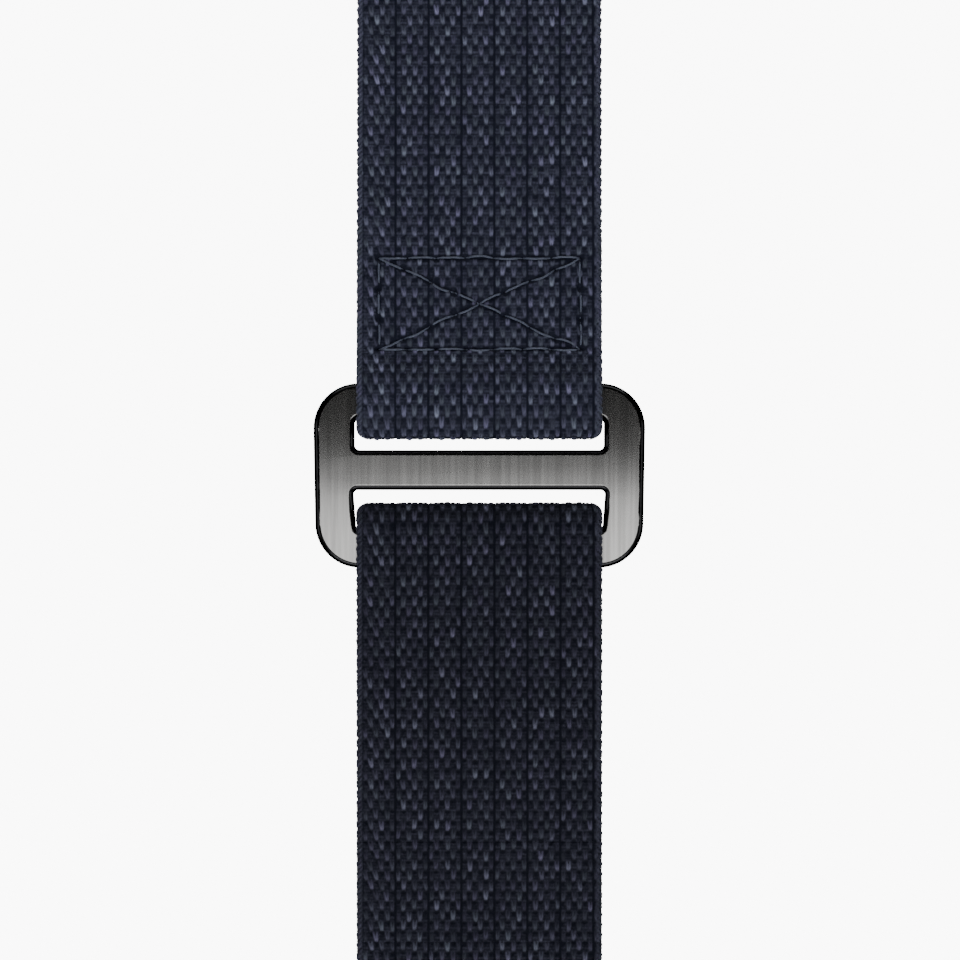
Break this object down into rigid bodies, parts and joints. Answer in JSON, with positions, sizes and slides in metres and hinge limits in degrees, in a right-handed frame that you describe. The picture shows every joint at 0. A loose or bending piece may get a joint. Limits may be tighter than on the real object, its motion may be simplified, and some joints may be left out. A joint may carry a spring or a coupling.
{
  "type": "fitness tracker band",
  "caption": "Woven navy webbing band with a brushed two-window ring buckle, hook-and-loop tail and spring-bar ends, lying flat.",
  "frame": {"origin": "below the buckle's centre, on the surface that the band lies on", "axes": "+X across the strap, +Y along the band towards the sewn upper strap, +Z out of the band's outer face"},
  "size_m": [0.0298, 0.1538, 0.0056],
  "materials": {
    "webbing_upper": "woven navy nylon webbing with lengthwise ribs",
    "webbing_lower": "the same woven nylon webbing in a darker navy",
    "thread": "twisted bonded polyester thread",
    "loop_tape": "brushed knitted loop pile",
    "hook_tape": "moulded nylon hooks",
    "gunmetal": "brushed gunmetal, polished dark edges",
    "pin_steel": "satin stainless steel",
    "spring_steel": "drawn spring wire"
  },
  "bodies": {
    "buckle": {"buckle_frame": "gunmetal"},
    "upper_fold": {"upper_fold_wrap": "webbing_upper", "upper_fold_front": "webbing_upper", "upper_fold_under": "webbing_upper", "upper_box_stitch": "thread"},
    "upper_stretch_1": {"upper_strap_1": "webbing_upper"},
    "upper_stretch_2": {"upper_strap_2": "webbing_upper"},
    "upper_stretch_3": {"upper_strap_3": "webbing_upper"},
    "upper_end": {"upper_end_wrap": "webbing_upper", "upper_end_front": "webbing_upper", "upper_end_under": "webbing_upper", "upper_end_stitch": "thread", "upper_bar_tube": "pin_steel", "upper_bar_fixed_pin": "pin_steel", "upper_bar_spring": "spring_steel"},
    "upper_release": {"upper_bar_release_pin": "pin_steel", "upper_bar_knob": "pin_steel"},
    "lower_fold": {"lower_strap_fold": "webbing_lower"},
    "lower_stretch_1": {"lower_strap_1": "webbing_lower", "tail_strap_1": "webbing_lower", "loop_patch_1": "loop_tape", "loop_patch_stitch_1": "thread"},
    "lower_stretch_2": {"lower_strap_2": "webbing_lower", "tail_strap_2": "webbing_lower", "loop_patch_2": "loop_tape", "loop_patch_stitch_2": "thread"},
    "lower_stretch_3": {"lower_strap_3": "webbing_lower", "tail_strap_3": "webbing_lower", "loop_patch_3": "loop_tape", "loop_patch_stitch_3": "thread"},
    "tail": {"tail_tip": "webbing_lower", "hook_patch": "hook_tape", "hook_patch_stitch": "thread"},
    "lower_end": {"lower_end_wrap": "webbing_lower", "lower_end_front": "webbing_lower", "lower_end_under": "webbing_lower", "lower_end_stitch": "thread", "lower_bar_tube": "pin_steel", "lower_bar_fixed_pin": "pin_steel", "lower_bar_spring": "spring_steel"},
    "lower_release": {"lower_bar_release_pin": "pin_steel", "lower_bar_knob": "pin_steel"}
  },
  "joints": [
    {"name": "upper_fold_turn", "type": "hinge", "parent": "buckle", "child": "upper_fold", "pos_m": [0, 0.00666, 0.0028], "axis": [-1, 0, 0], "range_deg": [-10, 12]},
    {"name": "upper_flex_1", "type": "hinge", "parent": "upper_fold", "child": "upper_stretch_1", "pos_m": [0, 0.027, 0.00108], "axis": [-1, 0, 0], "range_deg": [-10, 30]},
    {"name": "upper_flex_2", "type": "hinge", "parent": "upper_stretch_1", "child": "upper_stretch_2", "pos_m": [0, 0.03957, 0], "axis": [-1, 0, 0], "range_deg": [-10, 30]},
    {"name": "upper_flex_3", "type": "hinge", "parent": "upper_stretch_2", "child": "upper_stretch_3", "pos_m": [0, 0.05054, 0], "axis": [-1, 0, 0], "range_deg": [-10, 30]},
    {"name": "upper_flex_4", "type": "hinge", "parent": "upper_stretch_3", "child": "upper_end", "pos_m": [0, 0.0615, 0], "axis": [-1, 0, 0], "range_deg": [-10, 30]},
    {"name": "lower_fold_turn", "type": "hinge", "parent": "buckle", "child": "lower_fold", "pos_m": [0, -0.00656, 0.0028], "axis": [1, 0, 0], "range_deg": [-6, 16]},
    {"name": "lower_flex_1", "type": "hinge", "parent": "lower_fold", "child": "lower_stretch_1", "pos_m": [0, -0.017, 0], "axis": [1, 0, 0], "range_deg": [-10, 30]},
    {"name": "lower_flex_2", "type": "hinge", "parent": "lower_stretch_1", "child": "lower_stretch_2", "pos_m": [0, -0.0275, 0], "axis": [1, 0, 0], "range_deg": [-10, 30]},
    {"name": "lower_flex_3", "type": "hinge", "parent": "lower_stretch_2", "child": "lower_stretch_3", "pos_m": [0, -0.038, 0], "axis": [1, 0, 0], "range_deg": [-10, 30]},
    {"name": "lower_flex_4", "type": "hinge", "parent": "lower_stretch_3", "child": "lower_end", "pos_m": [0, -0.06, 0], "axis": [1, 0, 0], "range_deg": [-10, 30]},
    {"name": "tail_peel", "type": "hinge", "parent": "lower_stretch_3", "child": "tail", "pos_m": [0, -0.045, 0.0039], "axis": [-1, 0, 0], "range_deg": [0, 150]},
    {"name": "upper_bar_release", "type": "slide", "parent": "upper_end", "child": "upper_release", "axis": [-1, 0, 0], "range_m": [0, 0.0012], "stiffness_N_per_m": 1200, "springref_m": -0.0008, "deforming": ["upper_bar_spring"]},
    {"name": "lower_bar_release", "type": "slide", "parent": "lower_end", "child": "lower_release", "axis": [-1, 0, 0], "range_m": [0, 0.0012], "stiffness_N_per_m": 1200, "springref_m": -0.0008, "deforming": ["lower_bar_spring"]}
  ]
}
